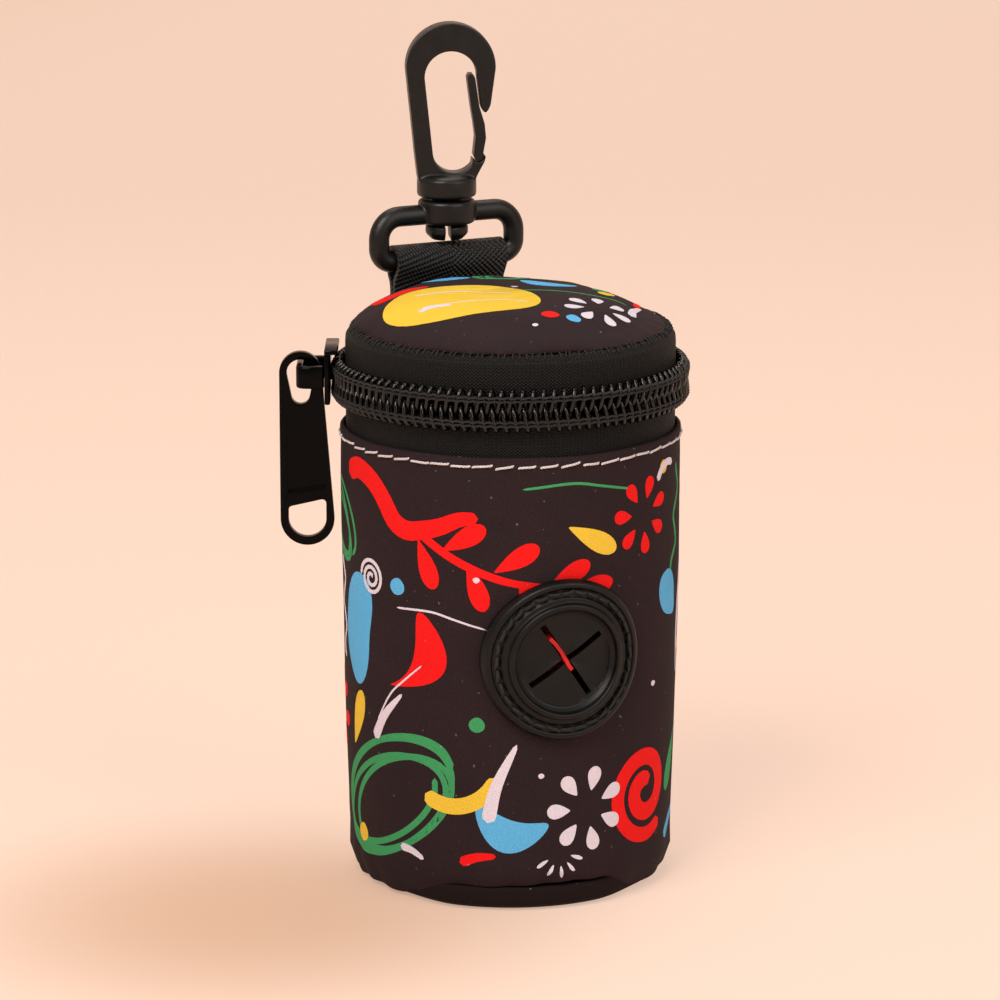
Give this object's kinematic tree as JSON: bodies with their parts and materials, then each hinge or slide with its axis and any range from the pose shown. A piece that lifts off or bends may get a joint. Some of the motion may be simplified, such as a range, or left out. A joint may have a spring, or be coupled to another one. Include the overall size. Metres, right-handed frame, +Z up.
{
  "type": "bag dispenser pouch",
  "caption": "Small round zip-top fabric pouch that feeds bags from a roll through a slit rubber outlet and hangs from a swivel snap hook.",
  "frame": {"origin": "middle of the base's underside, on the table", "axes": "+Z up along the pouch, -Y out through the bag outlet, +Y towards the lid hinge and the hook loop"},
  "size_m": [0.0613, 0.0554, 0.1298],
  "materials": {
    "print_fabric": "soft padded knit face with a doodle print",
    "base_fabric": "plain matte knit face",
    "binding_tape": "ribbed binding tape",
    "white_thread": "spun polyester thread",
    "black_thread": "spun polyester thread",
    "zip_tape": "ribbed zip tape",
    "zip_coil": "semi-gloss nylon coil",
    "stop_metal": "black enamel",
    "outlet_rubber": "matte moulded rubber",
    "webbing": "ribbed nylon webbing",
    "slider_enamel": "glossy black enamel",
    "hook_plastic": "matte acetal",
    "bag_film": "thin red film",
    "core_card": "grey-brown card"
  },
  "bodies": {
    "pouch": {"body_shell": "print_fabric", "base_panel": "base_fabric", "side_seam_binding": "binding_tape", "hem_stitching": "white_thread", "lower_tape": "zip_tape", "lower_coil": "zip_coil", "lower_end_stops": "stop_metal", "hinge_tab": "base_fabric", "outlet_grommet": "outlet_rubber", "outlet_backing": "base_fabric", "outlet_stitching": "black_thread", "bag_tail": "bag_film"},
    "lid": {"lid_panel": "print_fabric", "upper_tape": "zip_tape", "upper_coil": "zip_coil", "upper_end_stops": "stop_metal", "webbing_loop": "webbing"},
    "slider": {"slider_body": "slider_enamel", "slider_bridge": "slider_enamel"},
    "pull": {"pull_tab": "slider_enamel"},
    "ring": {"swivel_ring": "hook_plastic"},
    "hook": {"snap_hook": "hook_plastic"},
    "gate": {"hook_gate": "hook_plastic"},
    "roll": {"bag_roll": "bag_film", "roll_core": "core_card"}
  },
  "joints": [
    {"name": "lid_hinge", "type": "hinge", "parent": "pouch", "child": "lid", "pos_m": [0, 0.0258, 0.07795], "axis": [-1, 0, 0], "range_deg": [0, 100], "deforming": ["hinge_tab"]},
    {"name": "slider_travel", "type": "hinge", "parent": "pouch", "child": "slider", "pos_m": [0, 0, 0.07795], "axis": [0, 0, 1], "range_deg": [0, 220], "deforming": ["lower_coil", "upper_coil"]},
    {"name": "pull_swing", "type": "hinge", "parent": "slider", "child": "pull", "pos_m": [-0.03058, 0.00994, 0.0786], "axis": [0.309, 0.9511, 0], "range_deg": [0, 180]},
    {"name": "ring_swing", "type": "hinge", "parent": "lid", "child": "ring", "pos_m": [-0.00313, 0.02228, 0.0928], "axis": [0.9903, 0.1392, 0], "range_deg": [-100, 50]},
    {"name": "hook_swivel", "type": "hinge", "parent": "ring", "child": "hook", "pos_m": [-0.00313, 0.02228, 0.1003], "axis": [0, 0, 1], "continuous": true},
    {"name": "gate_flex", "type": "hinge", "parent": "hook", "child": "gate", "pos_m": [0.00166, 0.02126, 0.109], "axis": [-0.2079, -0.9781, 0], "range_deg": [0, 25], "stiffness_Nm_per_rad": 0.02},
    {"name": "roll_spin", "type": "hinge", "parent": "pouch", "child": "roll", "pos_m": [0, 0, 0.03], "axis": [0, 0, 1], "continuous": true}
  ]
}
